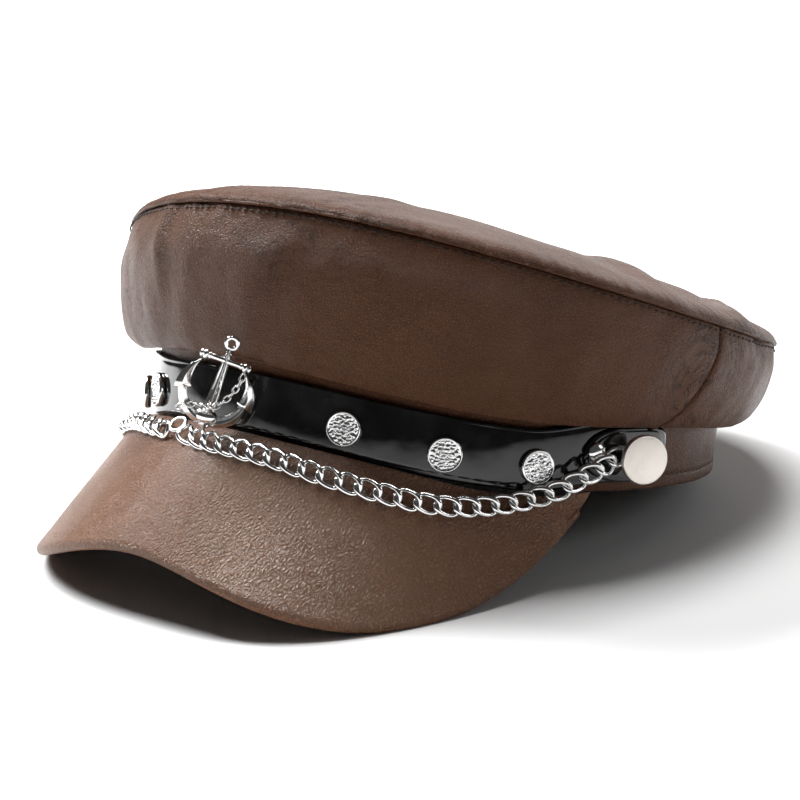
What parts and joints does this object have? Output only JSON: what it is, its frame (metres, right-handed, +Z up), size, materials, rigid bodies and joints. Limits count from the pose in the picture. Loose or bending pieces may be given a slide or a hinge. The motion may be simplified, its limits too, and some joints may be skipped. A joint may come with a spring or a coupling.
{
  "type": "visor cap",
  "caption": "Soft imitation-leather sailor cap with a domed crown, curved visor, black patent strap, studs, chain swags and an anchor badge.",
  "frame": {"origin": "middle of the bounding box on the surface the cap lies on", "axes": "+Z up, front of the cap (visor) towards -Y, wearer's left +X; the cap is laid down on its visor and the back of its head band, so its own upright axis leans back about 11.6 degrees"},
  "size_m": [0.2094, 0.258, 0.1204],
  "materials": {
    "brown_leather": "grained, semi-gloss",
    "patent_leather": "high gloss",
    "sweat_leather": "smooth, matte",
    "lining_cloth": "plain weave satin",
    "visor_core": "hidden stiffener",
    "silver_metal": "polished, silver tone",
    "satin_metal": "satin nickel"
  },
  "bodies": {
    "cap": {"crown_top_panel": "brown_leather", "crown_front_panel": "brown_leather", "crown_rear_panel": "brown_leather", "head_band": "brown_leather", "sweatband": "sweat_leather", "lining_top": "lining_cloth", "lining_side": "lining_cloth", "visor_top_cover": "brown_leather", "visor_board": "visor_core", "visor_under_cover": "sweat_leather", "strap": "patent_leather", "anchor": "silver_metal", "anchor_tether": "silver_metal", "jump_ring": "silver_metal", "strap_tab_left": "patent_leather", "stud_left_1": "silver_metal", "stud_left_2": "silver_metal", "stud_left_3": "silver_metal", "tab_rivet_left": "silver_metal", "button_post_left": "silver_metal", "strap_tab_right": "patent_leather", "stud_right_1": "silver_metal", "stud_right_2": "silver_metal", "stud_right_3": "silver_metal", "tab_rivet_right": "silver_metal", "button_post_right": "silver_metal"},
    "chain_left": {"chain_left": "silver_metal"},
    "chain_right": {"chain_right": "silver_metal"},
    "button_left": {"side_button_left": "satin_metal"},
    "button_right": {"side_button_right": "satin_metal"}
  },
  "joints": [
    {"name": "chain_swing_left", "type": "hinge", "parent": "cap", "child": "chain_left", "pos_m": [-0.01533, -0.09127, 0.04868], "axis": [-0.7701, -0.6293, 0.1044], "range_deg": [0, 10]},
    {"name": "chain_swing_right", "type": "hinge", "parent": "cap", "child": "chain_right", "pos_m": [-0.01533, -0.09127, 0.04868], "axis": [-0.6564, 0.7442, -0.1235], "range_deg": [0, 10]},
    {"name": "button_turn_left", "type": "hinge", "parent": "cap", "child": "button_left", "pos_m": [0.09316, -0.00167, 0.03382], "axis": [0.92, -0.3838, 0.079], "continuous": true},
    {"name": "button_turn_right", "type": "hinge", "parent": "cap", "child": "button_right", "pos_m": [-0.09316, -0.00167, 0.03382], "axis": [-0.92, -0.3838, 0.079], "continuous": true}
  ]
}
